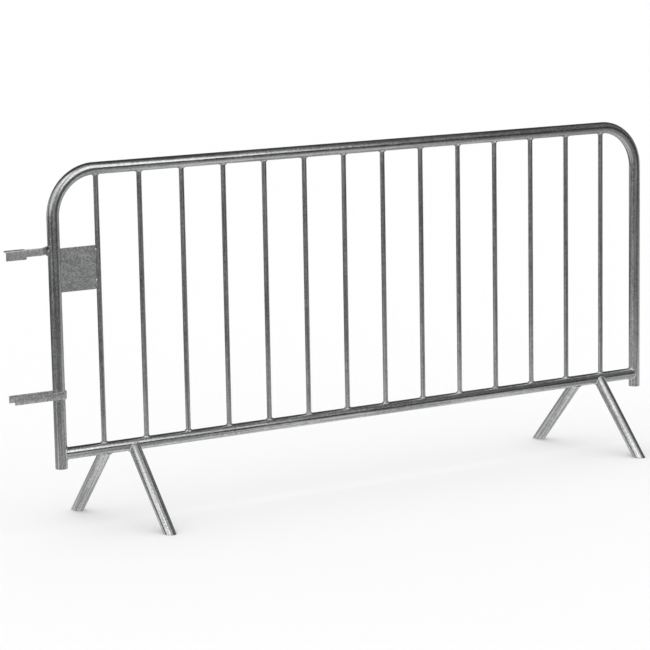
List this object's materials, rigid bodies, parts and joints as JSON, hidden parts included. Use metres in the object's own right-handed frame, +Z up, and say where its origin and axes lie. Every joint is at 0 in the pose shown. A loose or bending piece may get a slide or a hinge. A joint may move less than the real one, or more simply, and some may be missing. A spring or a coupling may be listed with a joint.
{
  "type": "crowd control barrier",
  "caption": "Free-standing steel barrier: bent tube frame, upright round bars, splayed welded legs, and strap hooks on one post that take the next barrier's post.",
  "frame": {"origin": "on the floor, below the middle of the bent tube frame, in the barrier's own plane", "axes": "+X along the barrier away from the hooks, +Y to the rear, +Z up"},
  "size_m": [2.1312, 0.4462, 1],
  "materials": {
    "tube_zinc": "hot-dip galvanised tube, smooth and streaked along its length, semi-bright",
    "flat_zinc": "hot-dip galvanised flat bar and sheet, mottled with fine spangle, dull",
    "weld_zinc": "galvanised weld bead, lumpy and semi-bright"
  },
  "bodies": {
    "root": {"frame_tube": "tube_zinc", "bottom_rail": "tube_zinc", "bar_01": "tube_zinc", "bar_02": "tube_zinc", "bar_03": "tube_zinc", "bar_04": "tube_zinc", "bar_05": "tube_zinc", "bar_06": "tube_zinc", "bar_07": "tube_zinc", "bar_08": "tube_zinc", "bar_09": "tube_zinc", "bar_10": "tube_zinc", "bar_11": "tube_zinc", "bar_12": "tube_zinc", "bar_13": "tube_zinc", "bar_14": "tube_zinc", "leg_front_left": "tube_zinc", "leg_rear_left": "tube_zinc", "leg_front_right": "tube_zinc", "leg_rear_right": "tube_zinc", "blank_plate": "flat_zinc", "lower_hook_strap": "flat_zinc", "upper_hook_strap": "flat_zinc", "upper_hook_keeper": "flat_zinc", "bar_top_welds": "weld_zinc", "bar_bottom_welds": "weld_zinc", "rail_end_welds": "weld_zinc", "leg_welds": "weld_zinc", "plate_welds": "weld_zinc", "lower_hook_welds": "weld_zinc", "upper_hook_welds": "weld_zinc"}
  },
  "joints": []
}
